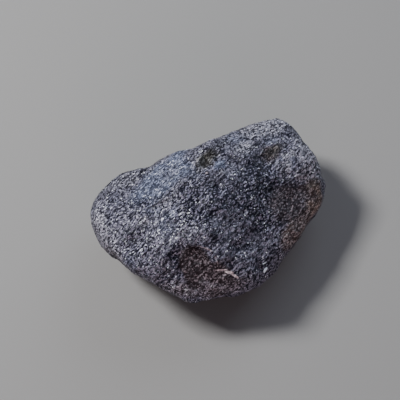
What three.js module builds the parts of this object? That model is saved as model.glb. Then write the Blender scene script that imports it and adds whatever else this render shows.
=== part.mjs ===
// A tektite: one solid lump of black natural glass, 48 mm long, blunt-edged and narrower at its left end, lying on
// the worn flat of its underside.
//
// The body is a polyhedron of worn faces with its edges rounded away. Hollows, a saddle and a spall scar are pressed
// into it, swells stand out of it, and flow furrows, pits and a coarse unevenness cover it all over.
//
// Millimetres, +Z up. The long axis lies along X, and the origin is level with the resting flat, under the middle of
// the box.

import * as THREE from "three";
import { ImprovedNoise } from "three/addons/math/ImprovedNoise.js";
import { mergeVertices } from "three/addons/utils/BufferGeometryUtils.js";

// The finished lump's box.
const LENGTH = 48.3;
const WIDTH = 35;
const HEIGHT = 20;

// How much of the underside is worn off flat where the lump rests.
const REST_WEAR = 0.7;

// The worn faces: where each one looks (azimuth from +X towards +Y, elevation above the horizon, in degrees), and how
// far it lies from the lump's heart.
const FACES = [
  // round the girdle, from the far side by the narrow left end to the near side and back
  { azimuth: 91, elevation: 26, distance: 13.8 },
  { azimuth: 117, elevation: 19, distance: 22.3 },
  { azimuth: 140, elevation: 9, distance: 24.5 },
  { azimuth: 172, elevation: -8, distance: 24.8 },
  { azimuth: -169, elevation: -17, distance: 22.3 },
  { azimuth: -145, elevation: -24, distance: 18 },
  { azimuth: -102, elevation: -27, distance: 16.5 },
  { azimuth: -76, elevation: -23, distance: 18.5 },
  { azimuth: -55, elevation: -15, distance: 16.8 },
  { azimuth: -36, elevation: -6, distance: 27 },
  { azimuth: -11, elevation: 6, distance: 26.6 },
  { azimuth: 11, elevation: 17, distance: 23.2 },
  // between the girdle and the crown or the underside
  { azimuth: -105, elevation: 8, distance: 18.5 },
  { azimuth: -150, elevation: 8, distance: 20.8 },
  { azimuth: 178, elevation: 25, distance: 22.6 },
  { azimuth: 95, elevation: -12, distance: 16.9 },
  { azimuth: 20, elevation: -15, distance: 25.6 },
  { azimuth: -60, elevation: 28, distance: 14.8 },
  { azimuth: -20, elevation: 35, distance: 18.7 },
  // the crown
  { azimuth: 115, elevation: 60, distance: 10.6 },
  { azimuth: 180, elevation: 75, distance: 10.2 },
  { azimuth: -52, elevation: 60, distance: 9.3 },
  { azimuth: 30, elevation: 72, distance: 10.4 },
  { azimuth: -20, elevation: 72, distance: 9.4 },
  { azimuth: -110, elevation: 40, distance: 14.3 },
  { azimuth: 190, elevation: 50, distance: 19.2 },
  // the underside
  { azimuth: 0, elevation: -90, distance: 10 },
  { azimuth: 60, elevation: -45, distance: 16.2 },
  { azimuth: 140, elevation: -50, distance: 17 },
  { azimuth: 180, elevation: -50, distance: 20.5 },
  { azimuth: -20, elevation: -50, distance: 19 },
  { azimuth: -90, elevation: -55, distance: 15 },
];

// A higher number leaves the edges between the faces sharper.
const EDGE_SHARPNESS = 26;

// Single hollows and swells. Each lies where the ray from the heart through `at` leaves the body, runs along `along`,
// and has half sizes along and across. Depth is negative for a swell. Wall is the share of the half size that slopes:
// 1 is a bowl, and a small share is a flat floor with steep sides. Tilt makes the end that `along` looks towards
// deeper by its share of the depth, and the other end shallower.
const FORMS = [
  { name: "far block", at: [21.5, 2, 3], along: [0, 1, 0], half: [8, 6], depth: -1.1, wall: 0.8 },
  { name: "saddle", at: [13, 4.3, 5.8], along: [0.7, 0.7, 0], half: [5.5, 3.4], depth: 1.2, wall: 1 },
  { name: "dark hollow", at: [16.5, -4, 4], along: [0, 1, 0], half: [5, 7], tilt: 0.6, depth: 0.8, wall: 0.8 },
  { name: "hollow", at: [2.8, 6.8, 8.3], along: [-0.3, 1, 0], half: [2.4, 3.4], tilt: 0.4, depth: 0.8, wall: 0.6 },
  { name: "dimple", at: [7, 5.5, 8.8], along: [-0.3, 1, 0], half: [1.6, 2.6], tilt: 0.4, depth: 0.5, wall: 0.8 },
  { name: "bay", at: [-1.2, 1, 9.6], along: [-0.3, 1, 0], half: [3.4, 5.8], tilt: -0.3, depth: 0.7, wall: 0.8 },
  { name: "upper dent", at: [-11.7, 3.8, 7.1], along: [-0.3, 1, 0], half: [1.2, 2], depth: 0.4, wall: 1 },
  { name: "scar", at: [-9.6, -10.2, 5.4], along: [0, 1, 1], half: [5.2, 4.2], tilt: 0.8, depth: 1.2, wall: 0.45 },
  { name: "lower swell", at: [-1.5, -11, 6.2], along: [0.7, 0.7, 0], half: [3.4, 2.4], depth: -0.45, wall: 1 },
  { name: "right dent", at: [15, -9, 1], along: [0.5, 1, 0], half: [3.5, 3], depth: 0.6, wall: 1 },
  { name: "near pit", at: [3, -15.2, 2.5], along: [1, 0, 0], half: [1.6, 1.3], depth: 0.6, wall: 0.8 },
  { name: "left foot", at: [-14, -12.5, 2.4], along: [1, 0, 0], half: [2.5, 2.2], depth: -0.6, wall: 1 },
  { name: "middle foot", at: [-11, -14.8, -1], along: [1, 0, 0], half: [3, 4], depth: -0.7, wall: 1 },
  { name: "right foot", at: [-2, -17, -2], along: [1, 0, 0], half: [3, 4], depth: -0.6, wall: 1 },
  { name: "left end swell", at: [-21.3, 5.9, 3.8], along: [0, 1, 0], half: [4, 2.5], depth: -0.5, wall: 1 },
  { name: "left end hollow", at: [-15.5, 8, 3.8], along: [0, 1, 0], half: [3, 3], depth: 0.4, wall: 1 },
  { name: "left swell", at: [-14.8, 0.8, 6.6], along: [0.4, 1, 0], half: [3.2, 1.6], depth: -0.5, wall: 1 },
  { name: "left fold", at: [-14, -5.2, 6.8], along: [0.7, 0.7, 0], half: [4, 1.8], depth: -0.6, wall: 1 },
  { name: "left hollow", at: [-17.9, -2.5, 5.6], along: [1, 1, 0], half: [2.5, 2], depth: 0.4, wall: 1 },
  { name: "far corner", at: [-13, 14, 1], along: [1, 0, 0], half: [5, 4], depth: -0.7, wall: 1 },
  { name: "right corner", at: [21, -6, -3], along: [0, 1, 0], half: [5, 5], depth: -0.7, wall: 1 },
  { name: "far right corner", at: [21.4, 10.4, 2.5], along: [0, 1, 0], half: [6, 6], depth: -1.4, wall: 1 },
  { name: "far edge", at: [-2, 15, 3], along: [1, 0, 0], half: [6, 4], depth: -0.8, wall: 1 },
  { name: "far bay", at: [-3, 14, -6], along: [1, 0, 0], half: [6, 3.6], depth: 1, wall: 1 },
  { name: "under hollow", at: [13, 6, -8], along: [1, -0.6, 0], half: [7, 5], depth: 1.2, wall: 0.8 },
  { name: "under dent", at: [-14, -3, -9], along: [0, 1, 0], half: [5, 4], depth: 0.9, wall: 0.8 },
  { name: "under notch", at: [13, -6, -8], along: [1, 1, 0], half: [4, 3], depth: 0.6, wall: 0.8 },
];

// Unevenness all over: the length of its waves and their height.
const SWELLS = [
  { wave: 9, height: 0.5 },
  { wave: 4.5, height: 0.45 },
  { wave: 2.6, height: 0.25 },
];

// Furrows left by the glass as it flowed: which way they run, their spacing, how many spacings long they are, and
// their height.
const FLOW = { azimuth: 30, spacing: 3, stretch: 4, height: 0.35 };

// Pits scattered all over. Each is this share of its radius deep.
const PITS = { count: 110, radius: [1, 2.1], depthShare: 0.2, seed: 7 };

// How finely the ball is divided that the body's points come from, and how far it is drawn out to the body's
// proportions first, from 0 (a ball) to 1 (an ellipsoid), so that the triangles come out even.
const DIVISIONS = 19;
const DRAWING = 0.5;

const noise = new ImprovedNoise();

// Where in the noise the lump lies.
const NOISE_ORIGIN = new THREE.Vector3(225, 50, 125);

/** The unit vector that looks towards an azimuth and elevation in degrees. */
function heading(azimuth, elevation) {
  const level = Math.cos(THREE.MathUtils.degToRad(elevation));
  return new THREE.Vector3(
    level * Math.cos(THREE.MathUtils.degToRad(azimuth)),
    level * Math.sin(THREE.MathUtils.degToRad(azimuth)),
    Math.sin(THREE.MathUtils.degToRad(elevation)),
  );
}

const faces = FACES.map(({ azimuth, elevation, distance }) => ({ normal: heading(azimuth, elevation), distance }));

/** The point where a ray from the heart leaves the rounded body. */
function bodyPoint(direction) {
  const total = faces.reduce(
    (sum, { normal, distance }) => sum + Math.max(0, normal.dot(direction) / distance) ** EDGE_SHARPNESS,
    0,
  );
  return direction.clone().multiplyScalar(total ** (-1 / EDGE_SHARPNESS));
}

/** The outward normal of the rounded body at a point on it. */
function bodyNormal(point) {
  const sum = new THREE.Vector3();
  for (const { normal, distance } of faces) {
    const share = Math.max(0, normal.dot(point) / distance) ** (EDGE_SHARPNESS - 1);
    sum.addScaledVector(normal, share / distance);
  }
  return sum.normalize();
}

/** A form's place on the body, with its own axes. */
function placed(form) {
  const centre = bodyPoint(new THREE.Vector3(...form.at).normalize());
  const normal = bodyNormal(centre);
  const across = new THREE.Vector3().crossVectors(normal, new THREE.Vector3(...form.along)).normalize();
  const along = new THREE.Vector3().crossVectors(across, normal);
  return { ...form, centre, normal, across, along };
}

/** How deep a form presses the body in at a point. */
function pressed({ centre, normal, across, along, half, depth, wall, tilt = 0 }, point) {
  const offset = point.clone().sub(centre);
  const lengthwise = offset.dot(along) / half[0];
  const reach = Math.hypot(lengthwise, offset.dot(across) / half[1], offset.dot(normal) / Math.max(...half));
  return depth * (1 + tilt * lengthwise) * THREE.MathUtils.smoothstep(1 - reach, 0, wall);
}

/** The pits: round bowls on a spiral of even spacing round the ball, each moved and sized at random. */
function scatteredPits({ count, radius, depthShare, seed }) {
  const goldenTurn = 180 * (3 - Math.sqrt(5));
  const random = (n) => THREE.MathUtils.seededRandom(seed * 1000 + n);
  return Array.from({ length: count }, (_, i) => {
    const height = 1 - (2 * (i + random(4 * i))) / count;
    const elevation = THREE.MathUtils.radToDeg(Math.asin(height));
    const half = THREE.MathUtils.lerp(radius[0], radius[1], random(4 * i + 1) ** 2);
    return placed({
      at: heading(i * goldenTurn + 20 * random(4 * i + 2), elevation).toArray(),
      along: [0.3, 1, 0.2],
      half: [half, half],
      depth: half * depthShare,
      wall: 1,
    });
  });
}

const forms = [...FORMS.map(placed), ...scatteredPits(PITS)];

/** Noise drawn out along the flow. */
function furrow(point, { azimuth, spacing, stretch, height }) {
  const turned = point.clone().applyAxisAngle(new THREE.Vector3(0, 0, 1), -THREE.MathUtils.degToRad(azimuth));
  return height * noise.noise(turned.x / (spacing * stretch), turned.y / spacing, turned.z / spacing);
}

/** How far the surface stands out of the rounded body at a point. */
function relief(point) {
  const moved = point.clone().add(NOISE_ORIGIN);
  const uneven = SWELLS.reduce(
    (sum, { wave, height }) => sum + height * noise.noise(moved.x / wave, moved.y / wave, moved.z / wave),
    0,
  );
  const deep = forms.reduce((sum, form) => sum + pressed(form, point), 0);
  return uneven + furrow(moved, FLOW) - deep;
}

/** The lump's surface round its heart, one closed mesh. */
function lumpGeometry() {
  const ball = new THREE.IcosahedronGeometry(1, DIVISIONS);
  ball.deleteAttribute("normal");
  ball.deleteAttribute("uv");
  const geometry = mergeVertices(ball, 1e-5);
  const drawn = new THREE.Vector3(LENGTH ** DRAWING, WIDTH ** DRAWING, HEIGHT ** DRAWING);
  const position = geometry.getAttribute("position");
  for (let i = 0; i < position.count; i++) {
    const point = bodyPoint(new THREE.Vector3().fromBufferAttribute(position, i).multiply(drawn).normalize());
    point.addScaledVector(bodyNormal(point), relief(point));
    position.setXYZ(i, point.x, point.y, point.z);
  }
  return geometry;
}

/** Scales the lump to its box, wears its lowest part off flat and stands that flat on z = 0. */
function standing(geometry) {
  const box = new THREE.Box3().setFromBufferAttribute(geometry.getAttribute("position"));
  const size = box.getSize(new THREE.Vector3());
  const middle = box.getCenter(new THREE.Vector3());
  geometry.translate(-middle.x, -middle.y, -box.min.z);
  geometry.scale(LENGTH / size.x, WIDTH / size.y, (HEIGHT + REST_WEAR) / size.z);
  geometry.translate(0, 0, -REST_WEAR);
  const position = geometry.getAttribute("position");
  for (let i = 0; i < position.count; i++) {
    position.setZ(i, Math.max(0, position.getZ(i)));
  }
  return geometry;
}

const glass = new THREE.MeshStandardMaterial({ color: 0x232428, roughness: 0.55, metalness: 0 });
const tektite = new THREE.Mesh(standing(lumpGeometry()), glass);
tektite.name = "tektite";

const part = new THREE.Group();
part.add(tektite);

export default part;
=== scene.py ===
"""A tektite: a lump of black natural glass with a frosted, pitted and furrowed skin.

The lump's form is its solid's. Here a finer copy of the solid is carved with what its skin holds:
furrows of the flow, pits in several sizes, ledges, and a spall scar with a crisp rim. Its finish is
near-black glass with a grain of tiny facets that shine in points, and pale sparkles painted in its
colour. Its shades follow how the skin is frosted, worn or chipped, and some are painted light:
painted shade on the dark middle, hollows and creases, and painted highlights and a bluish sheen
on lit slopes, edges, the scar's rim and a pit.

Millimetres are used for the skin, and metres for the scene. +Z is up.
"""

import logging
import math
from collections.abc import Mapping
from dataclasses import dataclass, field
from enum import Enum
from typing import Any

import bmesh
import bpy
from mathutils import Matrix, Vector

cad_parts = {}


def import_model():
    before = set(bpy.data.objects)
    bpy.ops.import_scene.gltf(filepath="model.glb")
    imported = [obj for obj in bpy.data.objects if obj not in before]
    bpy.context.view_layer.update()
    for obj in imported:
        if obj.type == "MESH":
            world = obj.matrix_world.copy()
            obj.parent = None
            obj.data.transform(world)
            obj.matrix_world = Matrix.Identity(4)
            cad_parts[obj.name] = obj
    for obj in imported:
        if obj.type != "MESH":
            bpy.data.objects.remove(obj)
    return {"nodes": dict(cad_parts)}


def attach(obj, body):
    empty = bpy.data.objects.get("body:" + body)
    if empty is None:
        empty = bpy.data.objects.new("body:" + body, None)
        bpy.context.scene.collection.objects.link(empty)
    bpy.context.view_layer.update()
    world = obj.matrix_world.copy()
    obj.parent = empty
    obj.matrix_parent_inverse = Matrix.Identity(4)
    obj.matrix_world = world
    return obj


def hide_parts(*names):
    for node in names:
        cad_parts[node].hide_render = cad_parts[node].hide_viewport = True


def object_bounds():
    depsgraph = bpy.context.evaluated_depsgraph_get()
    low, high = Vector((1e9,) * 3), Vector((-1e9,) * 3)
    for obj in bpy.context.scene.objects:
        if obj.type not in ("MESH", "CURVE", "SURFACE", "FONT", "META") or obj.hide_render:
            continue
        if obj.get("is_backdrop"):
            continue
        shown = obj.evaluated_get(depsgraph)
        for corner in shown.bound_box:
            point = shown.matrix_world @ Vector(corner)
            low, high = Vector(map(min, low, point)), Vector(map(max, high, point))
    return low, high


LOG = logging.getLogger("tektite")
MM = 0.001
Point = tuple[float, float, float]
Colour = tuple[float, float, float]

# Where a smooth step begins, at 0, and where it ends, at 1.
Step = tuple[float, float]

# The ellipsoid that the lump's bulk follows: its half sizes, and the height of its middle.
BULK = (24.0, 17.5, 12.0)
BULK_MIDDLE = 8.0

# The skin's attribute in which the carving leaves the height of its crests for the finish.
CREST = "crest"


def towards(azimuth: float, elevation: float = 0.0) -> Vector:
    """Works out a direction, as a vector of length 1.

    Args:
        azimuth: Its azimuth from +X towards +Y, in degrees.
        elevation: Its height above the horizon, in degrees.

    Returns:
        The vector.
    """
    turn, lift = math.radians(azimuth), math.radians(elevation)
    level = math.cos(lift)
    return Vector((level * math.cos(turn), level * math.sin(turn), math.sin(lift)))


def added(name: str, data: bpy.types.ID) -> bpy.types.Object:
    """Adds an object to the scene.

    Args:
        name: Its name.
        data: Its mesh, light or camera.

    Returns:
        The object.
    """
    thing = bpy.data.objects.new(name, data)
    bpy.context.scene.collection.objects.link(thing)
    return thing


def aimed(name: str, data: bpy.types.ID, place: Vector, back: Vector) -> bpy.types.Object:
    """Adds a lamp or camera to the scene.

    Args:
        name: Its name.
        data: Its light or camera.
        place: Where it is, in metres.
        back: The direction to it from what it looks at.

    Returns:
        The object.
    """
    thing = added(name, data)
    thing.location = place
    thing.rotation_euler = (-back).to_track_quat("-Z", "Y").to_euler()
    return thing


class Value:
    """A socket in an expression: each operator adds the Math node that works it out."""

    def __init__(self, graph: "Graph", socket: bpy.types.NodeSocket) -> None:
        """Wraps a socket.

        Args:
            graph: The node tree that the socket is in.
            socket: The output socket.
        """
        self.graph = graph
        self.socket = socket

    def _math(self, operation: str, *terms: "Term") -> "Value":
        """Adds a Math node on up to three terms."""
        return self.graph.add("ShaderNodeMath", {"operation": operation}, dict(enumerate(terms)))

    def __add__(self, other: "Term") -> "Value":
        """self + other."""
        return self._math("ADD", self, other)

    def __radd__(self, other: "Term") -> "Value":
        """other + self."""
        return self._math("ADD", other, self)

    def __sub__(self, other: "Term") -> "Value":
        """self - other."""
        return self._math("SUBTRACT", self, other)

    def __rsub__(self, other: "Term") -> "Value":
        """other - self."""
        return self._math("SUBTRACT", other, self)

    def __mul__(self, other: "Term") -> "Value":
        """self * other."""
        return self._math("MULTIPLY", self, other)

    def __truediv__(self, other: "Term") -> "Value":
        """self / other."""
        return self._math("DIVIDE", self, other)

    def at_most(self, limit: float) -> "Value":
        """The lesser of self and a limit."""
        return self._math("MINIMUM", self, limit)

    def rises(self, low: float, high: float) -> "Value":
        """Makes a smooth step.

        Args:
            low: Where the step begins, at 0.
            high: Where it ends, at 1. Under low, the step falls.

        Returns:
            A value from 0 to 1.
        """
        bounds = {"From Min": min(low, high), "From Max": max(low, high)}
        ends = {"To Min": float(low > high), "To Max": float(low < high)}
        smooth = {"interpolation_type": "SMOOTHSTEP"}
        return self.graph.add("ShaderNodeMapRange", smooth, {"Value": self, **bounds, **ends})


Term = Value | float


class Graph:
    """A node tree that is being built, for the skin's carving or for its finish."""

    def __init__(self, tree: bpy.types.NodeTree) -> None:
        """Wraps a node tree.

        Args:
            tree: A shader or geometry node tree.
        """
        self.tree = tree

    def add(
        self,
        kind: str,
        settings: Mapping[str, Any] | None = None,
        sockets: Mapping[int | str, Any] | None = None,
        output: int | str = 0,
    ) -> Value:
        """Adds a node.

        Args:
            kind: The node's type.
            settings: The node's own properties, which are set first.
            sockets: Values or links of its input sockets, by name or number.
            output: The output that the result stands for.

        Returns:
            That output.
        """
        node = self.tree.nodes.new(kind)
        for name, setting in (settings or {}).items():
            setattr(node, name, setting)
        self.feed(node, sockets or {})
        return Value(self, node.outputs[output])

    def feed(self, node: bpy.types.Node, sockets: Mapping[int | str, Any]) -> None:
        """Sets or links some of a node's input sockets.

        Args:
            node: The node.
            sockets: The values or links, by the socket's name or number.
        """
        for key, value in sockets.items():
            if isinstance(value, Value):
                self.tree.links.new(value.socket, node.inputs[key])
            else:
                node.inputs[key].default_value = value

    def vector(self, operation: str, first: Any, second: Any, output: str = "Vector") -> Value:
        """Adds a Vector Math node on two vectors."""
        sockets = {0: first, 1: second}
        return self.add("ShaderNodeVectorMath", {"operation": operation}, sockets, output)

    def scaled(self, vector: Value, factor: Term) -> Value:
        """A vector times a number."""
        sockets = {0: vector, "Scale": factor}
        return self.add("ShaderNodeVectorMath", {"operation": "SCALE"}, sockets)

    def along(self, vector: Value, axis: Point | Value) -> Value:
        """How far a vector reaches along an axis."""
        return self.vector("DOT_PRODUCT", vector, axis, "Value")

    def length(self, vector: Value) -> Value:
        """A vector's length."""
        return self.vector("LENGTH", vector, (0, 0, 0), "Value")

    def cells(self, place: Value, spacing: float, output: str = "Distance") -> Value:
        """The distance to the nearest cell's middle, in spacings, or another of its outputs."""
        sockets = {"Vector": place, "Scale": 1 / spacing, "Randomness": 1}
        return self.add("ShaderNodeTexVoronoi", None, sockets, output)

    def mixed(self, share: Value, first: Any, second: Any) -> Value:
        """Mixes two colours, in sockets that go by number, since others share their names.

        Args:
            share: How much of the second colour shows, from 0 to 1.
            first: The first colour, or a link of it.
            second: The second colour, or a link of it.

        Returns:
            The mixed colour.
        """
        sides = [(*side, 1) if isinstance(side, tuple) else side for side in (first, second)]
        sockets = {"Factor": share, 6: sides[0], 7: sides[1]}
        return self.add("ShaderNodeMix", {"data_type": "RGBA"}, sockets, 2)


@dataclass(frozen=True)
class Ripple:
    """Smooth unevenness.

    Attributes:
        wave: The length of its waves.
        height: About how far its crests lie above its troughs.
        detail: How many finer layers it has.
        rough: How strong each finer layer is.
    """

    wave: float
    height: float = 1.0
    detail: float = 2
    rough: float = 0.5

    def at(self, graph: Graph, place: Value) -> Value:
        """Reads the ripple.

        Args:
            graph: The node tree.
            place: Where it is read.

        Returns:
            Its height there, round 0.
        """
        shape = {"Scale": 1 / self.wave, "Detail": self.detail, "Roughness": self.rough}
        noise = graph.add("ShaderNodeTexNoise", None, {"Vector": place, **shape})
        return (noise - 0.5) * self.height


@dataclass(frozen=True)
class Wander:
    """How the outlines of forms stray from their course.

    Attributes:
        wave: The length of the waves in which they stray.
        reach: How far they stray.
    """

    wave: float
    reach: float

    def moved(self, graph: Graph, place: Value) -> Value:
        """Moves a place about, so that what is read there strays.

        Args:
            graph: The node tree.
            place: The place.

        Returns:
            The moved place.
        """
        sockets = {"Vector": place, "Scale": 1 / self.wave, "Detail": 1}
        colour = graph.add("ShaderNodeTexNoise", None, sockets, "Color")
        moved = graph.vector("SUBTRACT", colour, (0.5, 0.5, 0.5))
        return graph.vector("ADD", place, graph.scaled(moved, 2 * self.reach))


@dataclass(frozen=True)
class Flow:
    """The way that the molten glass flowed, along which its marks are drawn out.

    Attributes:
        azimuth: Its direction, from +X towards +Y, in degrees.
        upright: How much of a mark's size is kept upwards.
    """

    azimuth: float = 27.0
    upright: float = 0.5

    def drawn(self, graph: Graph, place: Value, stretch: float) -> Value:
        """Makes coordinates in which a pattern is drawn out along the flow.

        Args:
            graph: The node tree.
            place: Where the pattern is read.
            stretch: How many times longer than wide its marks become.

        Returns:
            The place in those coordinates.
        """
        along = towards(self.azimuth)
        across = Vector((-along.y, along.x, 0))
        axes = (along / stretch, across, Vector((0, 0, self.upright)))
        shares = {i: graph.along(place, tuple(axis)) for i, axis in enumerate(axes)}
        return graph.add("ShaderNodeCombineXYZ", None, shares)


@dataclass(frozen=True)
class Grain:
    """A layer of pits that cover the skin edge to edge, with crests between them.

    Attributes:
        spacing: How far apart the pits are.
        depth: How deep they are.
        reach: How far from its middle a pit rises, in spacings.
    """

    spacing: float
    depth: float
    reach: float = 0.75

    def share(self, graph: Graph, place: Value) -> Value:
        """The height of a place, from 0 at the bottom of a pit to 1 on a crest."""
        share = graph.cells(place, self.spacing).at_most(self.reach) / self.reach
        return share * share

    def height(self, graph: Graph, place: Value) -> Value:
        """How far the layer moves the skin out at a place."""
        return (self.share(graph, place) - 1) * self.depth


@dataclass(frozen=True)
class Oval:
    """An oval area of the skin.

    Attributes:
        centre: Its middle, on the skin.
        half: Its half sizes along and across.
        azimuth: The way that its first half size runs, from +X towards +Y, in degrees.
    """

    centre: Point
    half: tuple[float, float]
    azimuth: float = 0.0

    def axes(self) -> tuple[Vector, Vector, Vector]:
        """Works out the oval's own axes.

        Returns:
            The ways along it, across it and out of the skin.
        """
        x, y, z = self.centre
        length, width, height = BULK
        facing = Vector((x / length**2, y / width**2, (z - BULK_MIDDLE) / height**2)).normalized()
        across = facing.cross(towards(self.azimuth)).normalized()
        return across.cross(facing), across, facing

    def spot(self, graph: Graph, place: Value) -> Value:
        """Finds a place in the oval.

        Args:
            graph: The node tree.
            place: The place.

        Returns:
            The place on the oval's own axes, in half sizes.
        """
        sizes = (*self.half, max(self.half))
        offset = graph.vector("SUBTRACT", place, self.centre)
        axes = enumerate(self.axes())
        shares = {i: graph.along(offset, tuple(axis / sizes[i])) for i, axis in axes}
        return graph.add("ShaderNodeCombineXYZ", None, shares)

    def reach(self, graph: Graph, place: Value) -> Value:
        """How far out a place is: 0 in the middle, and 1 on the oval's edge."""
        return graph.length(self.spot(graph, place))


@dataclass(frozen=True)
class Bowl(Oval):
    """An oval hollow in the skin.

    Attributes:
        depth: How deep it is. Under 0, it is a hump.
        wall: The share of its half size that slopes.
        rim: How high a rim stands round it.
        rim_inside: Where the rim rises, in half sizes.
        rim_outside: Where it falls to the skin again.
    """

    depth: float = 0.3
    wall: float = 1.0
    rim: float = 0.0
    rim_inside: Step = (0.85, 1.05)
    rim_outside: Step = (1.4, 1.1)

    def height(self, graph: Graph, place: Value) -> Value:
        """Shapes the hollow.

        Args:
            graph: The node tree.
            place: The place on the skin.

        Returns:
            How far the hollow moves the skin out there.
        """
        reach = self.reach(graph, place)
        pressed = reach.rises(1, 1 - self.wall) * -self.depth
        if not self.rim:
            return pressed
        return pressed + reach.rises(*self.rim_inside) * reach.rises(*self.rim_outside) * self.rim


@dataclass(frozen=True)
class Spall(Oval):
    """A shell-shaped chip scar: a crisp step at one end, which runs out at the other.

    Attributes:
        depth: How deep the step is.
        wall: Where the scar's wall begins and ends, in half sizes.
        slope: Where along the scar its floor begins to sink and is deepest, in half sizes.
        rim_inside: Where the crisp rim begins, in half sizes.
        rim_outside: Where it ends.
        rim_way: The way from the scar's middle to the crisp part of its rim, on its lit side.
        rim_ends: How far that way the crisp part begins and is full, in half sizes.
    """

    depth: float = 0.3
    wall: Step = (1.05, 0.85)
    slope: Step = (-0.5, 0.8)
    rim_inside: Step = (0.94, 1.0)
    rim_outside: Step = (1.07, 1.02)
    rim_way: Point = (0.7, -0.7, 0.0)
    rim_ends: Step = (0.3, 0.8)

    def within(self, graph: Graph, place: Value) -> Value:
        """How far inside the scar a place is, from 0 to 1."""
        return self.reach(graph, place).rises(*self.wall)

    def height(self, graph: Graph, place: Value) -> Value:
        """How far the scar moves the skin out at a place."""
        sunk = graph.along(self.spot(graph, place), (1, 0, 0)).rises(*self.slope)
        return self.within(graph, place) * sunk * -self.depth

    def edge(self, graph: Graph, place: Value) -> Value:
        """Finds the crisp part of the rim.

        Args:
            graph: The node tree.
            place: The place on the skin.

        Returns:
            How much of the rim the place has, from 0 to 1.
        """
        spot = self.spot(graph, place)
        reach = graph.length(spot)
        rim = reach.rises(*self.rim_inside) * reach.rises(*self.rim_outside)
        return rim * graph.along(spot, self.rim_way).rises(*self.rim_ends)


@dataclass(frozen=True)
class Ledge:
    """A step down in the skin, which then rises back slowly.

    Attributes:
        start: One end of the step's edge.
        end: Its other end. With the start at the left and the end at the right, the skin steps down
            on the near side.
        depth: How deep the step is.
        run: How far from the edge the skin is back at its old height.
        drop: Where the skin begins to step down and is lowest, from the edge.
        foot: Where it begins to rise back.
        fade: Where the step fades out towards its ends, as squares of shares of half its length.
    """

    start: Point
    end: Point
    depth: float
    run: float
    drop: Step = (-0.1, 0.3)
    foot: float = 0.2
    fade: Step = (1.2, 0.5)

    def height(self, graph: Graph, place: Value) -> Value:
        """Shapes the ledge.

        Args:
            graph: The node tree.
            place: The place on the skin.

        Returns:
            How far the ledge moves the skin out there.
        """
        start, end = Vector(self.start), Vector(self.end)
        along = (end - start).normalized()
        down = along.cross(Vector((0, 0, 1))).normalized()
        offset = graph.vector("SUBTRACT", place, tuple((start + end) / 2))
        lengthwise = graph.along(offset, tuple(along * 2 / (end - start).length))
        distance = graph.along(offset, tuple(down))
        within = (lengthwise * lengthwise).rises(*self.fade)
        profile = distance.rises(*self.drop) * distance.rises(self.run, self.foot)
        return profile * within * -self.depth


class Shade(Enum):
    """The skin's shades, in the order in which they are laid on."""

    FROSTED = "frosted"
    # Blue-grey frost, partly a painted bluish sheen on lit slopes.
    BLUISH = "bluish"
    # Painted highlights on lit edges and crests of milky frost.
    MILKY_HIGHLIGHT = "milky"
    # Painted shade, where the skin faces away from the light and in hollows.
    DEEP_SHADE = "deep"
    DULL = "dull"
    BROWN = "brown"
    # The scar's dark brown, and painted shade in the darkest hollows.
    CHAR_AND_SHADE = "char"
    # Painted shade, olive-brown, in creases and hollows.
    OLIVE_SHADE = "olive"
    # Pale chipped glass, partly a painted highlight on the scar's rim.
    PALE = "pale"
    # Painted glints: highlights painted in the colour.
    GLINT = "glint"


@dataclass(frozen=True)
class Tone:
    """What a shade looks like.

    Attributes:
        pit: The colour at the bottom of the grain's pits.
        crest: The colour at the top of its crests.
        bite: How much of the height between them stays dark, from 0 to 1.
        worn: How worn the skin is there, from 0 to 1.
    """

    pit: Colour
    crest: Colour
    bite: float = 0.0
    worn: float = 0.0

    def colour(self, graph: Graph, light: Value) -> Value:
        """The colour at a height from 0 to 1."""
        return graph.mixed((light - self.bite) / (1 - self.bite), self.pit, self.crest)


@dataclass(frozen=True)
class Patch(Oval):
    """An oval area of the skin in a shade of its own.

    Attributes:
        strength: How much of the shade shows in its middle, from 0 to 1.
        fade: How softly its edge fades, as a share of its half sizes.
    """

    strength: float = 1.0
    fade: float = 0.5

    def share(self, graph: Graph, place: Value) -> Value:
        """How much of the shade a place has, from 0 to 1."""
        return self.reach(graph, place).rises(1 + self.fade, 1 - self.fade) * self.strength


@dataclass(frozen=True)
class Facets:
    """The finest grain: tiny facets side by side, each with a slope and a paleness of its own.

    Attributes:
        spacing: How far apart they are.
        stretch: How many times longer than wide they are.
        flow: The flow that draws them out.
        wander: How their rows stray.
        tilt: How steeply they slope.
        light: How pale the palest are.
        clusters: Where they are paler or darker together.
    """

    spacing: float = 0.2
    stretch: float = 2.0
    flow: Flow = Flow(upright=0.9)
    wander: Wander = Wander(0.8, 0.15)
    tilt: float = 1.1
    light: float = 1.8
    clusters: Ripple = Ripple(2.2, 0.8, 1)

    def spread(self, graph: Graph, place: Value) -> tuple[Value, Value]:
        """Spreads the facets over the skin.

        Args:
            graph: The finish's nodes.
            place: The place on the skin.

        Returns:
            How pale the facet is there, and how far it moves the skin out.
        """
        drawn = self.flow.drawn(graph, self.wander.moved(graph, place), self.stretch)
        chance = graph.cells(drawn, self.spacing, "Color")
        luck = graph.along(chance, (0, 1, 0))
        paleness = luck * luck * luck * luck * (1 + self.clusters.at(graph, place)) * self.light
        lean = graph.vector("SUBTRACT", chance, (0.5, 0.5, 0.5))
        offset = graph.vector("SUBTRACT", drawn, graph.cells(drawn, self.spacing, "Position"))
        return paleness, graph.along(offset, lean) * self.tilt


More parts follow.
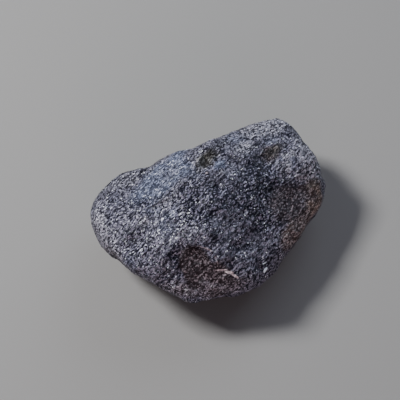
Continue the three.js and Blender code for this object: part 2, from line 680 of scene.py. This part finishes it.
@dataclass(frozen=True)
class Specks:
    """Painted sparkles: the points that shine most, painted pale in the colour.

    Attributes:
        colour: Their colour.
        spacing: How far apart they can be.
        chance: The luck from 0 to 1 at which one begins to show, and at which it is full.
        crowds: Where they crowd together.
        edge: Where a speck begins and is full, from its middle in spacings.
        crests: The height on the skin's crests at which they begin to show, and are full.
    """

    colour: Colour = (0.80, 0.84, 0.92)
    spacing: float = 0.3
    chance: Step = (0.85, 1.05)
    crowds: tuple[Ripple, ...] = (Ripple(1.8, 0.45), Ripple(7.0, 0.4, 1))
    edge: Step = (0.55, 0.3)
    crests: Step = (0.1, 0.8)

    def share(self, graph: Graph, place: Value, crest: Value) -> Value:
        """Scatters the specks.

        Args:
            graph: The finish's nodes.
            place: The place on the skin.
            crest: The height there on the skin's crests, from 0 to 1.

        Returns:
            How much of a speck the place has, from 0 to 1.
        """
        luck = graph.along(graph.cells(place, self.spacing, "Color"), (1, 0, 0))
        for crowd in self.crowds:
            luck = luck + crowd.at(graph, place)
        dot = graph.cells(place, self.spacing).rises(*self.edge)
        return dot * luck.rises(*self.chance) * crest.rises(*self.crests)


@dataclass(frozen=True)
class NaturalGlass:
    """The finish: near-black glass, frosted on its crests, which shines in points, some of them
    painted.

    The grain has three layers: ridges along the flow, a fine grit and the facets. What is pale in
    it stands out, and its dark pits are dull.

    Attributes:
        tones: What each shade looks like.
        flow: The flow that draws out the ridges and the grit.
        stretch: How many times longer than wide they are.
        ridges: The ridges.
        ridge_light: How much paler the ridges' crests are than the pits between them.
        grit: The grit, as paleness.
        grit_height: How high it stands where its paleness is 1.
        facets: The facets.
        specks: Painted sparkles, the points that shine most.
        crest_light: How much paler the skin's crests are than its pits.
        drifts: Where the skin is paler or darker over a few millimetres.
        base_light: The paleness of all the rest.
        mottling: How unevenly the bluish shade is spread.
        soft_edges: How the edges of most shades stray.
        crisp_edges: How those of the small crisp ones stray.
        crisp: The small crisp shades.
        rim_light: How much of the pale shade, a painted highlight, the scar's rim has.
        gaps: What breaks up that rim.
        gap_edges: The height in the gaps at which the rim begins to show, and is full.
        roughness: The glass's roughness in the skin's pits and on its crests.
        wear: How much rougher it is where it is worn.
        smoothing: How much of the grain's height is worn away there.
        refraction: The glass's index of refraction.
        sheen: The tint of its reflections.
        matt: How dull the grain's pits are, from 0 to 1.
        matt_edges: The paleness up from which the grain begins to be dull, and is dullest.
    """

    tones: Mapping[Shade, Tone] = field(
        default_factory=lambda: {
            Shade.FROSTED: Tone((0.003, 0.003, 0.007), (0.162, 0.158, 0.213)),
            Shade.BLUISH: Tone((0.017, 0.020, 0.033), (0.158, 0.179, 0.268)),
            Shade.MILKY_HIGHLIGHT: Tone((0.006, 0.006, 0.010), (0.325, 0.322, 0.392)),
            Shade.DEEP_SHADE: Tone((0.002, 0.002, 0.006), (0.157, 0.152, 0.213), 0.38),
            Shade.DULL: Tone((0.001, 0.001, 0.003), (0.058, 0.058, 0.080), worn=1.0),
            Shade.BROWN: Tone((0.042, 0.028, 0.023), (0.290, 0.232, 0.205), 0.22, 0.5),
            Shade.CHAR_AND_SHADE: Tone((0.005, 0.002, 0.003), (0.108, 0.089, 0.102), 0.42, 1.0),
            Shade.OLIVE_SHADE: Tone((0.006, 0.005, 0.004), (0.092, 0.087, 0.076), 0.35, 1.0),
            Shade.PALE: Tone((0.20, 0.165, 0.18), (0.46, 0.39, 0.42)),
            Shade.GLINT: Tone((0.74, 0.86, 0.98), (0.85, 0.95, 1.00)),
        }
    )
    flow: Flow = Flow(upright=0.8)
    stretch: float = 4.0
    ridges: Grain = Grain(0.6, 0.14)
    ridge_light: float = 0.12
    grit: Ripple = Ripple(0.3, 1.0, 1, 0.6)
    grit_height: float = 0.1
    facets: Facets = Facets()
    specks: Specks = Specks()
    crest_light: float = 0.06
    drifts: Ripple = Ripple(2.5, 0.1, 3)
    base_light: float = -0.06
    mottling: Ripple = Ripple(4.5, 2.0)
    soft_edges: Wander = Wander(1.5, 0.6)
    crisp_edges: Wander = Wander(0.8, 0.12)
    crisp: tuple[Shade, ...] = (Shade.PALE, Shade.GLINT)
    rim_light: float = 0.6
    gaps: Ripple = Ripple(1.3, 1.0, 1)
    gap_edges: Step = (-0.15, 0.05)
    roughness: tuple[float, float] = (0.34, 0.23)
    wear: float = 0.2
    smoothing: float = 0.3
    refraction: float = 1.5
    sheen: Colour = (0.84, 0.87, 1.0)
    matt: float = 0.7
    matt_edges: Step = (0.45, 0.05)

    def material(
        self, patches: Mapping[Shade, list[Patch]], scar: Spall, name: str
    ) -> bpy.types.Material:
        """Builds the finish.

        Args:
            patches: The areas in each shade but the first.
            scar: The scar, whose rim is pale with a painted highlight.
            name: The material's name.

        Returns:
            The material.
        """
        material = bpy.data.materials.new(name)
        material.use_nodes = True
        graph = Graph(material.node_tree)
        place = graph.scaled(graph.add("ShaderNodeTexCoord", output="Object"), 1 / MM)
        crest = graph.add("ShaderNodeAttribute", {"attribute_name": CREST}, output="Fac")
        light, height = self._grain(graph, place, crest)
        shares = self._shares(graph, place, patches, scar)
        worn = sum(shares[shade] * tone.worn for shade, tone in self.tones.items() if tone.worn)
        worn = worn.at_most(1)
        relief = {"Height": height * (1 - worn * self.smoothing), "Distance": MM}
        # The specks are painted sparkles: pale points in the colour.
        specks = self.specks.share(graph, place, crest)
        skin = {
            "Base Color": self._colour(graph, light, specks, shares),
            "Normal": graph.add("ShaderNodeBump", None, relief),
        }
        frosting = crest * (self.roughness[1] - self.roughness[0]) + self.roughness[0]
        self._surface(graph, skin, frosting + worn * self.wear, light)
        return material

    def _grain(self, graph: Graph, place: Value, crest: Value) -> tuple[Value, Value]:
        """Lays the grain's layers over each other.

        Args:
            graph: The finish's nodes.
            place: The place on the skin.
            crest: The height there on the skin's crests, from 0 to 1.

        Returns:
            How pale the grain is there, from 0 in pits to 1 on crests, and its height.
        """
        drawn = self.flow.drawn(graph, place, self.stretch)
        ridges = self.ridges.share(graph, drawn)
        grit = self.grit.at(graph, drawn)
        facet_light, facet_height = self.facets.spread(graph, place)
        light = ridges * self.ridge_light + facet_light + crest * self.crest_light
        light = light + grit + self.drifts.at(graph, place) + self.base_light
        height = ridges * self.ridges.depth + grit * self.grit_height + facet_height
        return light, height

    def _shares(
        self, graph: Graph, place: Value, patches: Mapping[Shade, list[Patch]], scar: Spall
    ) -> dict[Shade, Value]:
        """Works out how much of each shade a place has.

        Args:
            graph: The finish's nodes.
            place: The place on the skin.
            patches: The areas in each shade but the first.
            scar: The scar, whose rim is pale with a painted highlight.

        Returns:
            The share of each shade but the first.
        """
        soft, crisp = (edges.moved(graph, place) for edges in (self.soft_edges, self.crisp_edges))
        shares = {}
        for shade, areas in patches.items():
            read = crisp if shade in self.crisp else soft
            shares[shade] = sum(patch.share(graph, read) for patch in areas)
        shares[Shade.BLUISH] += self.mottling.at(graph, place)
        # A painted highlight on the lit side of the scar's crisp rim, broken up in gaps.
        whole = self.gaps.at(graph, place).rises(*self.gap_edges)
        shares[Shade.PALE] += scar.edge(graph, crisp) * whole * self.rim_light
        return shares

    def _colour(
        self, graph: Graph, light: Value, specks: Value, shares: Mapping[Shade, Value]
    ) -> Value:
        """Lays the shades and the specks on. Brown and the shades after it cover the specks.

        Args:
            graph: The finish's nodes.
            light: How pale the grain is, from 0 in pits to 1 on crests.
            specks: How much of a speck the place has.
            shares: How much of each shade but the first it has.

        Returns:
            The skin's colour.
        """
        colour = self.tones[Shade.FROSTED].colour(graph, light)
        for shade, share in shares.items():
            if shade == Shade.BROWN:
                colour = graph.mixed(specks, colour, self.specks.colour)
            colour = graph.mixed(share.rises(0, 1), colour, self.tones[shade].colour(graph, light))
        return colour

    def _surface(
        self, graph: Graph, skin: Mapping[str, Value], roughness: Value, light: Value
    ) -> None:
        """Makes the surface: glossy glass, which is mixed with a dull shader in the grain's pits.

        Args:
            graph: The finish's nodes.
            skin: The colour and the normal, which both shaders have.
            roughness: The glass's roughness.
            light: How pale the grain is, from 0 in pits to 1 on crests.
        """
        nodes = graph.tree.nodes
        glass = {"Roughness": roughness, "IOR": self.refraction, "Specular Tint": (*self.sheen, 1)}
        graph.feed(nodes["Principled BSDF"], {**skin, **glass})
        glossy = Value(graph, nodes["Principled BSDF"].outputs[0])
        dull = {**skin, "Roughness": 1.0, "Specular IOR Level": 0.0}
        matt = graph.add("ShaderNodeBsdfPrincipled", None, dull)
        sides = {0: light.rises(*self.matt_edges) * self.matt, 1: glossy, 2: matt}
        surface = graph.add("ShaderNodeMixShader", None, sides)
        graph.feed(nodes["Material Output"], {"Surface": surface})


@dataclass
class Skin:
    """The carving of the lump's skin, as Geometry Nodes.

    Attributes:
        scar: The spall scar, which cuts the furrows.
        forms: Single hollows and ledges.
        levels: How often the solid's faces are divided.
        flow: The flow, which draws out the furrows and pits.
        furrows: The furrows.
        furrow_height: Their height.
        furrow_stretch: How many times longer than wide they are.
        scar_clears: How much of their height the scar has cut away.
        grains: The layers of pits.
        pit_stretch: How many times longer than wide the pits are.
        roughening: The unevenness between the pits.
        wander: How the outlines of all forms but the furrows stray.
        crest: The height in the layers of pits that counts as 0 and as 1 for the finish.
    """

    scar: Spall
    forms: list[Bowl | Ledge]
    levels: int = 2
    flow: Flow = Flow()
    furrows: Ripple = Ripple(1.0)
    furrow_height: float = 0.26
    furrow_stretch: float = 4.5
    scar_clears: float = 0.8
    grains: tuple[Grain, ...] = (Grain(1.9, 0.10), Grain(0.95, 0.14))
    pit_stretch: float = 1.6
    roughening: Ripple = Ripple(0.9, 0.16, 2, 0.6)
    wander: Wander = Wander(1.6, 0.3)
    crest: Step = (0.1, 1.1)

    def carve(
        self, lump: bpy.types.Object, material: bpy.types.Material, box: tuple[Vector, Vector]
    ) -> None:
        """Carves the lump's mesh and keeps the result as its mesh.

        Args:
            lump: The lump, as a closed mesh.
            material: Its finish.
            box: The lowest and highest corner that the skin keeps within.
        """
        group = bpy.data.node_groups.new("skin", "GeometryNodeTree")
        for way in ("INPUT", "OUTPUT"):
            group.interface.new_socket("Geometry", in_out=way, socket_type="NodeSocketGeometry")
        sizes = {
            "Levels": ("NodeSocketInt", self.levels),
            "Furrow Height": ("NodeSocketFloat", self.furrow_height),
        }
        inputs = {}
        for name, (kind, size) in sizes.items():
            item = group.interface.new_socket(name, in_out="INPUT", socket_type=kind)
            inputs[item.identifier] = size
        self._build(Graph(group), material, box)
        modifier = lump.modifiers.new("skin", "NODES")
        modifier.node_group = group
        for identifier, size in inputs.items():
            modifier[identifier] = size
        evaluated = lump.evaluated_get(bpy.context.evaluated_depsgraph_get())
        carved = bpy.data.meshes.new_from_object(evaluated)
        lump.modifiers.remove(modifier)
        lump.data = carved

    def _build(
        self, graph: Graph, material: bpy.types.Material, box: tuple[Vector, Vector]
    ) -> None:
        """Fills the tree, which divides the faces, stores the crests and moves the points.

        Args:
            graph: The tree.
            material: The lump's finish.
            box: The lowest and highest corner that the skin keeps within.
        """
        given = graph.tree.nodes.new("NodeGroupInput").outputs
        names = ("Geometry", "Levels", "Furrow Height")
        mesh, levels, furrow_height = (Value(graph, given[name]) for name in names)
        divided = {"Mesh": mesh, "Level": levels}
        mesh = graph.add("GeometryNodeSubdivisionSurface", None, divided)
        position = graph.add("GeometryNodeInputPosition")
        pits, carving = self._carving(graph, graph.scaled(position, 1 / MM), furrow_height)
        moved = graph.scaled(graph.add("GeometryNodeInputNormal"), carving * MM)
        target = graph.vector("MAXIMUM", graph.vector("ADD", position, moved), tuple(box[0]))
        target = graph.vector("MINIMUM", target, tuple(box[1]))
        point_number = {"data_type": "FLOAT", "domain": "POINT"}
        crest = {"Name": CREST, "Value": self._crest(pits)}
        steps = (
            ("GeometryNodeStoreNamedAttribute", point_number, crest),
            ("GeometryNodeSetPosition", {}, {"Position": target}),
            ("GeometryNodeSetShadeSmooth", {}, {"Shade Smooth": True}),
            ("GeometryNodeRealizeInstances", {}, {}),
            ("GeometryNodeSetMaterial", {}, {"Material": material}),
        )
        for kind, settings, sockets in steps:
            mesh = graph.add(kind, settings, {"Geometry": mesh, **sockets})
        graph.feed(graph.tree.nodes.new("NodeGroupOutput"), {"Geometry": mesh})

    def _carving(self, graph: Graph, place: Value, furrow_height: Value) -> tuple[Value, Value]:
        """Lays all the forms over each other.

        Args:
            graph: The tree.
            place: The place on the skin.
            furrow_height: The furrows' height.

        Returns:
            How far the layers of pits move the skin out there, and how far all the forms do.
        """
        strayed = self.wander.moved(graph, place)
        pits = self._pits(graph, strayed)
        furrows = self._furrows(graph, place, strayed) * furrow_height
        height = pits + furrows + self.scar.height(graph, strayed)
        for form in self.forms:
            height = height + form.height(graph, strayed)
        return pits, height

    def _pits(self, graph: Graph, place: Value) -> Value:
        """Lays the layers of pits over each other.

        Args:
            graph: The tree.
            place: The place on the skin.

        Returns:
            How far they move the skin out there.
        """
        drawn = self.flow.drawn(graph, place, self.pit_stretch)
        total = self.roughening.at(graph, place)
        for grain in self.grains:
            total = total + grain.height(graph, drawn)
        return total

    def _crest(self, pits: Value) -> Value:
        """The height in the layers of pits, from 0 to 1."""
        deepest = sum(grain.depth for grain in self.grains)
        return (pits / deepest + 1).rises(*self.crest)

    def _furrows(self, graph: Graph, place: Value, strayed: Value) -> Value:
        """Draws the furrows of the flow, which the scar has mostly cut away.

        Args:
            graph: The tree.
            place: The place on the skin.
            strayed: The place, moved about as the scar's outline is.

        Returns:
            The furrows' height there, round 0.
        """
        drawn = self.flow.drawn(graph, place, self.furrow_stretch)
        left = 1 - self.scar.within(graph, strayed) * self.scar_clears
        return self.furrows.at(graph, drawn) * left


@dataclass
class Tektite:
    """The lump.

    Attributes:
        node: The solid that it stands for.
        slot: The name of its finish's material.
        scar: The large spall scar on its near side.
        patches: The areas in each shade but the first.
        pits: Single pits, and a hump beside the scar.
        ledges: Steps in the skin.
        finish: Its finish.
        weld: How far apart corners of the solid are joined, in millimetres.
    """

    node: str = "tektite"
    slot: str = "natural_glass"
    scar: Spall = Spall((-8.7, -10.9, 14.8), (4.1, 3.6), 62, 0.25)
    patches: Mapping[Shade, list[Patch]] = field(
        default_factory=lambda: {
            # Painted bluish sheen on frost: the long lit slope, along the top and at the broad end.
            Shade.BLUISH: [
                Patch((-8.0, 9.2, 16.2), (8.0, 4.4), 27, 0.95, 0.45),
                Patch((-9.0, -1.5, 19.0), (6.0, 2.6), 20, 0.6, 0.3),
                Patch((2.8, 5.7, 19.0), (1.6, 1.2), 27, 0.7, 0.3),
                Patch((22.5, 2.5, 13.0), (5.0, 3.0), 80),
            ],
            # Painted highlights on lit edges and crests of milky frost, and small painted sparkles.
            Shade.MILKY_HIGHLIGHT: [
                Patch((-23.0, 4.5, 13.0), (5.0, 2.4), 90, 0.7),
                Patch((-22.4, -1.0, 12.8), (3.0, 2.4), 90, 0.8),
                Patch((-22.1, 6.2, 14.4), (1.4, 0.8), 60, 0.8, 0.3),
                Patch((-14.8, 1.0, 16.8), (1.3, 0.7), 50, 0.8, 0.3),
                Patch((-14.2, -12.6, 12.2), (2.6, 1.5), -25, 1.0, 0.4),
                Patch((-14.0, 13.4, 12.4), (3.0, 1.8), 20, 0.7),
                Patch((-9.5, 3.2, 18.1), (0.9, 0.5), 0, 0.9, 0.3),
                Patch((-8.0, 7.6, 17.2), (4.0, 1.3), 24, 0.3),
                Patch((-1.2, 7.8, 18.5), (0.6, 0.5), 0, 0.9, 0.3),
                Patch((2.6, 4.0, 19.1), (0.9, 0.5), -10, 0.9, 0.3),
                Patch((9.4, 8.0, 16.5), (2.4, 1.6), 20),
                Patch((14.9, 2.0, 15.0), (2.2, 1.5), 20),
                Patch((15.9, -7.1, 11.4), (1.6, 1.0), 20, 0.4),
                Patch((17.4, 4.2, 15.1), (1.6, 0.8), -10, 0.7, 0.3),
                Patch((17.5, 13.2, 14.0), (7.0, 3.0), 20),
                Patch((19.6, -0.3, 13.3), (2.6, 1.2), 0),
                Patch((22.4, 3.2, 13.4), (4.6, 3.4), 80),
            ],
            # Painted shade on the dark middle, the hollows and the foot of the narrow end.
            Shade.DEEP_SHADE: [
                Patch((-21.0, -3.0, 7.0), (6.0, 4.0), 90, 0.7),
                Patch((-18.0, -5.5, 15.6), (2.6, 1.6), -60, 0.4),
                Patch((-18.0, -1.8, 15.6), (3.4, 3.2), -20, 0.7),
                Patch((-16.0, 6.0, 15.8), (3.0, 2.6), -10, 0.5),
                Patch((-13.0, 3.4, 17.0), (2.6, 1.8), 20, 0.4),
                Patch((-12.0, 4.0, 17.2), (3.6, 1.2), -20, 0.2),
                Patch((-10.6, -8.4, 16.0), (3.2, 2.4), -20, 0.8, 0.4),
                Patch((-8.5, -4.2, 19.2), (1.6, 1.2), 20, 0.4),
                Patch((-6.0, -2.6, 19.3), (4.2, 2.8), -10, 0.7),
                Patch((-4.6, 3.8, 19.6), (2.0, 1.2), 20, 0.5),
                Patch((-3.0, -8.5, 17.6), (2.0, 1.4), 20, 0.4),
                Patch((-1.0, -1.0, 19.4), (9.0, 3.0), -20, 0.8),
                Patch((0.8, 7.6, 18.3), (2.6, 1.7), 30, 1.0, 0.3),
                Patch((7.6, 1.6, 17.6), (4.0, 2.4), 20, 0.6),
                Patch((8.4, -7.0, 14.2), (3.0, 2.0), 20, 0.6),
                Patch((9.0, 4.8, 17.1), (3.0, 2.2), 20, 0.5),
                Patch((9.2, -2.4, 15.2), (8.2, 4.1), 62),
                Patch((12.0, -3.8, 13.8), (4.4, 3.6), 20),
                Patch((13.0, -8.5, 12.0), (4.0, 2.4), 30, 0.6),
            ],
            # The steep sides, down to the flat.
            Shade.DULL: [
                Patch((-10.0, 15.6, 5.6), (16.0, 5.9), 5, 0.9, 0.35),
                Patch((-6.0, -14.0, 3.6), (20.0, 5.0), -5, 0.6, 0.4),
                Patch((12.0, 15.6, 5.2), (12.0, 5.8), 0, 0.9, 0.35),
                Patch((20.0, -4.0, 4.0), (12.0, 4.0), 80, 0.6),
            ],
            # Brown wear below the scar, at the back and at the broad end.
            Shade.BROWN: [
                Patch((-8.0, -14.6, 12.0), (7.0, 2.6), -15, 0.3, 0.3),
                Patch((-8.0, 15.5, 4.0), (6.0, 3.0), 20, 0.4, 0.6),
                Patch((13.5, -9.4, 10.8), (6.5, 2.6), 20, 0.6, 0.3),
                Patch((19.6, -4.6, 10.8), (3.4, 2.6), -60, 0.9),
            ],
            # The scar's dark brown, and painted shade in the darkest hollows.
            Shade.CHAR_AND_SHADE: [
                Patch((-10.4, -12.2, 13.2), (2.4, 1.5), 80, 0.9, 0.35),
                Patch((-9.3, -9.9, 15.3), (3.3, 3.1), 75, 1.0, 0.25),
                Patch((-7.6, -15.8, 10.9), (1.2, 1.6), -15, 0.7, 0.4),
                Patch((-7.2, -12.3, 14.5), (4.2, 2.0), -35, 0.9, 0.35),
                Patch((-5.2, -15.0, 13.2), (3.0, 1.2), -25, 0.6, 0.4),
                Patch((12.8, -4.6, 13.2), (4.4, 3.4), 20),
                Patch((14.2, 5.8, 15.5), (2.5, 1.6), 20, 0.9),
                Patch((15.0, -8.6, 10.7), (4.6, 2.0), 35, 0.3),
                Patch((18.4, -3.8, 12.0), (2.4, 1.5), -30, 0.7),
            ],
            # Painted shade, olive-brown, in the creases.
            Shade.OLIVE_SHADE: [
                Patch((0.6, 7.8, 18.3), (2.6, 1.6), 30, 0.8, 0.7),
                Patch((3.6, 9.6, 17.6), (2.6, 1.2), 25, 0.4, 0.7),
                Patch((15.0, 6.2, 15.4), (2.4, 1.0), 25, 0.6, 0.6),
                Patch((19.8, -2.4, 12.7), (1.8, 0.8), 10, 0.6, 0.6),
                Patch((20.9, 7.4, 14.2), (2.8, 0.9), -80, 0.3, 0.6),
            ],
            # Splinters on the scar's rim, pale with a painted highlight, and a bruise on the crest.
            Shade.PALE: [
                Patch((-5.2, -13.4, 14.8), (1.1, 0.18), -20, 0.9, 0.2),
                Patch((-4.0, -14.3, 14.5), (0.9, 0.28), -35, 1.0, 0.2),
                Patch((-3.2, -15.2, 14.0), (0.9, 0.22), -62, 0.9, 0.2),
                Patch((-0.4, 4.7, 19.8), (0.4, 0.35), 0, 0.6, 0.2),
            ],
            # Painted glints: highlights painted on a face in a pit, and on one beside it.
            Shade.GLINT: [
                Patch((3.5, -15.4, 11.2), (0.7, 0.32), 30, 1.0, 0.2),
                Patch((3.6, -14.1, 12.0), (0.5, 0.16), -10, 0.6, 0.2),
            ],
        }
    )
    pits: list[Bowl] = field(
        default_factory=lambda: [
            Bowl((2.5, -14.9, 11.9), (0.9, 0.7), 0, 0.5, 0.6),
            Bowl((-6.0, -10.8, 17.5), (0.5, 0.5), 0, 0.25, 0.6, 0.15),
            Bowl((-0.6, -5.3, 18.3), (0.55, 0.55), 0, 0.25, 0.6, 0.15),
            Bowl((2.2, -6.0, 17.0), (0.5, 0.5), 0, 0.25, 0.6, 0.15),
            Bowl((-13.2, 12.5, 12.9), (0.4, 0.3), 0, 0.3, 0.8),
            Bowl((-11.5, 8.3, 15.8), (0.5, 0.4), 0, 0.3, 0.8, 0.1),
            Bowl((-9.3, 13.5, 13.1), (0.6, 0.4), 0, 0.35, 0.8),
            Bowl((0.8, 7.8, 18.3), (2.2, 1.1), 30, 0.2),
            Bowl((-13.4, -9.6, 14.8), (3.2, 1.5), 75, -0.35),
        ]
    )
    ledges: list[Ledge] = field(
        default_factory=lambda: [
            Ledge((-13.5, 3.5, 16.5), (-7.1, 3.4, 19.5), 0.35, 3.0),
            Ledge((-7.1, 3.4, 19.5), (-1.5, 6.6, 19.0), 0.4, 3.0),
            Ledge((-0.6, 1.6, 19.4), (4.6, 4.6, 18.9), 0.22, 1.6),
            Ledge((16.5, -0.6, 14.0), (20.5, -0.6, 13.0), 0.3, 3.0),
        ]
    )
    finish: NaturalGlass = field(default_factory=NaturalGlass)
    weld: float = 0.001

    def build(self, solid: bpy.types.Object, box: tuple[Vector, Vector]) -> bpy.types.Object:
        """Builds the lump in its solid's place.

        Args:
            solid: The solid's object.
            box: The solid's lowest and highest corner.

        Returns:
            The lump.
        """
        lump = self._closed_copy(solid)
        material = self.finish.material(self.patches, self.scar, self.slot)
        Skin(self.scar, [*self.pits, *self.ledges]).carve(lump, material, box)
        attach(lump, "root")
        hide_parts(self.node)
        return lump

    def _closed_copy(self, solid: bpy.types.Object) -> bpy.types.Object:
        """Copies the solid's mesh and joins its loose triangles.

        Args:
            solid: The solid's object.

        Returns:
            The copy, as an object in the scene.
        """
        mesh = bpy.data.meshes.new("lump")
        form = bmesh.new()
        form.from_mesh(solid.data)
        bmesh.ops.remove_doubles(form, verts=form.verts, dist=self.weld * MM)
        form.to_mesh(mesh)
        form.free()
        return added("lump", mesh)


@dataclass(frozen=True)
class Lamp:
    """A square lamp that looks at the lump.

    Attributes:
        name: Its name.
        azimuth: Its azimuth from +X towards +Y, in degrees.
        elevation: Its elevation, in degrees.
        distance: How far it is, in metres.
        size: Its side, in metres.
        power: Its power, in watts.
        colour: Its colour.
    """

    name: str
    azimuth: float
    elevation: float
    distance: float
    size: float
    power: float
    colour: Colour

    def build(self) -> None:
        """Hangs the lamp."""
        light = bpy.data.lights.new(self.name, "AREA")
        light.size, light.energy, light.color = self.size, self.power, self.colour
        back = towards(self.azimuth, self.elevation)
        aimed(self.name, light, back * self.distance, back)


@dataclass
class Studio:
    """A plain pale floor and soft studio light.

    Attributes:
        floor_half: Half the floor's side, in metres.
        floor_colour: The colour of its paper.
        floor_roughness: The paper's roughness.
        sky: The brightness of the plain surroundings.
        sky_colour: Their colour.
        lamps: The lamps.
    """

    floor_half: float = 1.5
    floor_colour: Colour = (0.148, 0.149, 0.150)
    floor_roughness: float = 0.9
    sky: float = 0.16
    sky_colour: Colour = (0.82, 0.87, 1.0)
    lamps: list[Lamp] = field(
        default_factory=lambda: [
            Lamp("key", 135, 47, 0.5, 0.12, 6.4, (1.0, 0.985, 0.96)),
            Lamp("side", 35, 28, 0.6, 0.5, 2.8, (0.78, 0.87, 1.0)),
            Lamp("front", -105, 8, 0.6, 0.4, 3.2, (1.0, 0.74, 0.75)),
        ]
    )

    def build(self) -> None:
        """Builds the floor, the lamps and the surroundings."""
        self._floor()
        for lamp in self.lamps:
            lamp.build()
        world = bpy.data.worlds.new("surroundings")
        world.use_nodes = True
        sky = {"Color": (*self.sky_colour, 1), "Strength": self.sky}
        Graph(world.node_tree).feed(world.node_tree.nodes["Background"], sky)
        bpy.context.scene.world = world

    def _floor(self) -> None:
        """Lays the floor at z = 0."""
        half = self.floor_half
        corners = [(-half, -half, 0), (half, -half, 0), (half, half, 0), (-half, half, 0)]
        mesh = bpy.data.meshes.new("floor")
        mesh.from_pydata(corners, [], [(0, 1, 2, 3)])
        material = bpy.data.materials.new("floor_paper")
        material.use_nodes = True
        paper = {"Base Color": (*self.floor_colour, 1), "Roughness": self.floor_roughness}
        Graph(material.node_tree).feed(material.node_tree.nodes["Principled BSDF"], paper)
        mesh.materials.append(material)
        floor = added("floor", mesh)
        floor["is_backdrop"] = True


@dataclass
class Viewpoint:
    """The camera.

    Attributes:
        target: What it looks at, in metres.
        azimuth: Its azimuth from -Y towards +X, in degrees.
        elevation: Its height above the horizon, in degrees.
        distance: How far it is, in metres.
        lens: Its focal length, in millimetres.
        near: The distance from which it sees, in metres.
    """

    target: Point = (-0.002186, 0.003742, 0.011359)
    azimuth: float = -23.5
    elevation: float = 62
    distance: float = 0.222
    lens: float = 100
    near: float = 0.01

    def build(self) -> None:
        """Places the camera."""
        view = bpy.data.cameras.new("camera")
        view.lens, view.clip_start = self.lens, self.near
        back = towards(self.azimuth - 90, self.elevation)
        place = Vector(self.target) + back * self.distance
        bpy.context.scene.camera = aimed("camera", view, place, back)


def main() -> None:
    """Builds the tektite in its frame, with its studio and camera."""
    logging.basicConfig(level=logging.INFO, format="%(name)s: %(message)s")
    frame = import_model()
    cad_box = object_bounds()
    Viewpoint().build()
    Studio().build()
    tektite = Tektite()
    lump = tektite.build(frame["nodes"][tektite.node], cad_box)
    LOG.info("%s: %d faces", lump.name, len(lump.data.polygons))


if __name__ == "__main__":
    main()
